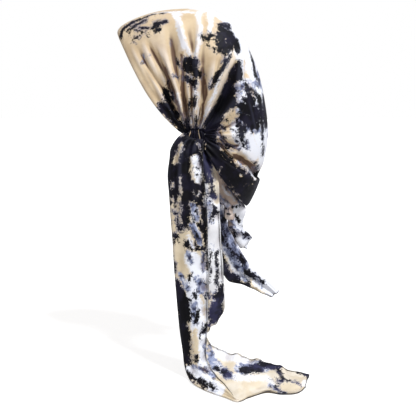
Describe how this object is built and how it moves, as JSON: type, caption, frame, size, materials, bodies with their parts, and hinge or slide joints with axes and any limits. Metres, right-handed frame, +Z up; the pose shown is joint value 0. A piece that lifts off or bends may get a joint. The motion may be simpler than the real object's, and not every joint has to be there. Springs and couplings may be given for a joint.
{
  "type": "pre-tied head scarf",
  "caption": "Pre-tied head scarf pulled on like a cap: pleated crown with a full back pouch, sewn side gathers, long folded ties and a ruffled flap.",
  "frame": {"origin": "middle of the head's hollow at brow height, where the scarf sits on the wearer's head", "axes": "+Z up, the wearer faces -Y, +X is the wearer's left"},
  "size_m": [0.2728, 0.3107, 0.5916],
  "materials": {
    "crown_velvet": "cream stretch velvet with near-black, feathered tie-dye blotches",
    "tail_velvet": "stretch velvet, about half near-black tie-dye over cream and white",
    "gathered_velvet": "near-black velvet, stitched into tight pleats",
    "nape_casing": "plain cream cloth over elastic"
  },
  "bodies": {
    "root": {"crown": "crown_velvet", "gather_left": "gathered_velvet", "gather_right": "gathered_velvet", "tail_left": "tail_velvet", "tail_right": "tail_velvet", "back_flap": "tail_velvet", "nape_band": "nape_casing"}
  },
  "joints": []
}
